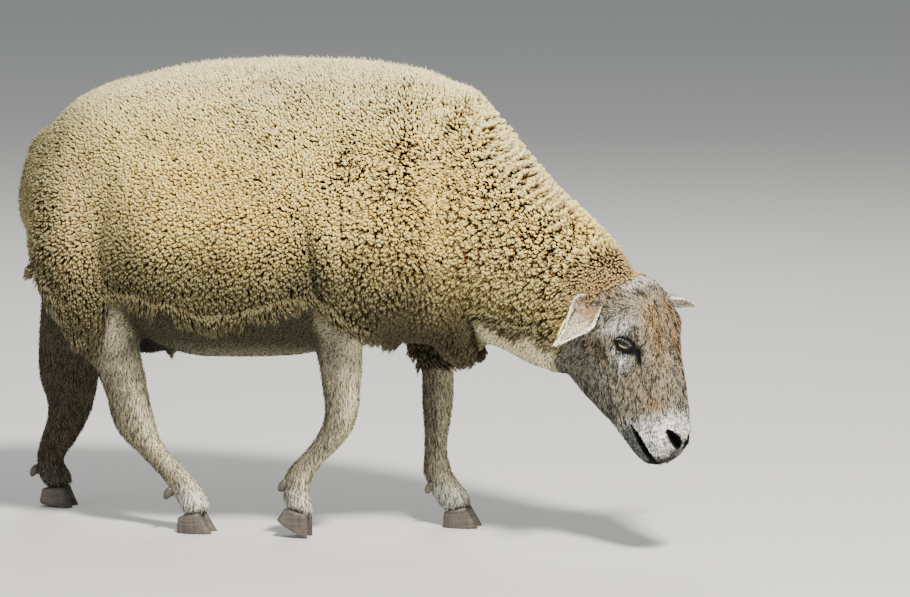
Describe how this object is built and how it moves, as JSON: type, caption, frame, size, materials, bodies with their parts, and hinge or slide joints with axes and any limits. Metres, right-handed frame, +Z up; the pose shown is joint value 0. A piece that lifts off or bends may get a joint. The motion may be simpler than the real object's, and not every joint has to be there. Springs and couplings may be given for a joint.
{
  "type": "sheep",
  "caption": "Life-size polled ewe in short fleece, walking slowly with the head lowered and turned to its right.",
  "frame": {"origin": "on the floor, under the middle of the whole animal's bounding box", "axes": "+X the way the ewe walks, +Y to the ewe's left, +Z up"},
  "size_m": [1.1322, 0.4032, 0.7499],
  "materials": {
    "fleece": "matt, short regrown wool",
    "hair": "matt, short smooth hair",
    "udder": "satin, bare skin",
    "horn": "satin horn of the claws",
    "eye": "wet gloss",
    "ear_tag": "satin"
  },
  "bodies": {
    "root": {"trunk": "fleece", "neck": "fleece", "head": "hair", "eye_left": "eye", "ear_left": "hair", "eye_right": "eye", "ear_right": "hair", "ear_tag": "ear_tag", "foreleg_right": "hair", "foreleg_right_claw_inner": "horn", "foreleg_right_claw_outer": "horn", "foreleg_right_dewclaw_inner": "horn", "foreleg_right_dewclaw_outer": "horn", "foreleg_left": "hair", "foreleg_left_claw_inner": "horn", "foreleg_left_claw_outer": "horn", "foreleg_left_dewclaw_inner": "horn", "foreleg_left_dewclaw_outer": "horn", "hindleg_right": "hair", "hindleg_right_claw_inner": "horn", "hindleg_right_claw_outer": "horn", "hindleg_right_dewclaw_inner": "horn", "hindleg_right_dewclaw_outer": "horn", "hindleg_left": "hair", "hindleg_left_claw_inner": "horn", "hindleg_left_claw_outer": "horn", "hindleg_left_dewclaw_inner": "horn", "hindleg_left_dewclaw_outer": "horn", "tail": "fleece", "udder": "udder"}
  },
  "joints": []
}
